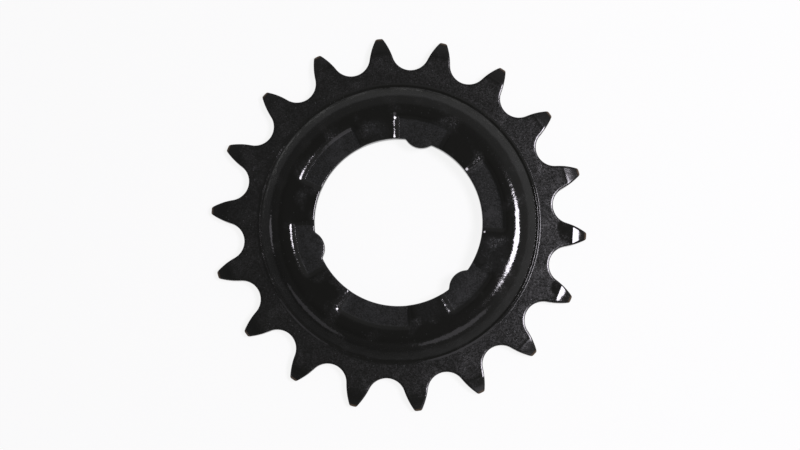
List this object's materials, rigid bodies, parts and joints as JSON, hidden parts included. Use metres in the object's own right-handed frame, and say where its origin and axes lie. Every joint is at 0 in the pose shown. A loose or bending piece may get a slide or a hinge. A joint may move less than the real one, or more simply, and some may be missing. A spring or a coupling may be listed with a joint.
{
  "type": "bicycle cog",
  "caption": "Dished black rear sprocket: a flat toothed ring for a roller chain round a raised hub ring whose bore has inward driving lugs and shallow recesses.",
  "frame": {"origin": "on the axis of the bore, in the plane of the toothed ring's underside", "axes": "+Z along the axis through the raised hub ring, +Y through the first lug and the tooth in line with it"},
  "size_m": [0.078, 0.079, 0.005],
  "materials": {
    "cog": "satin black"
  },
  "bodies": {
    "root": {"cog": "cog"}
  },
  "joints": []
}
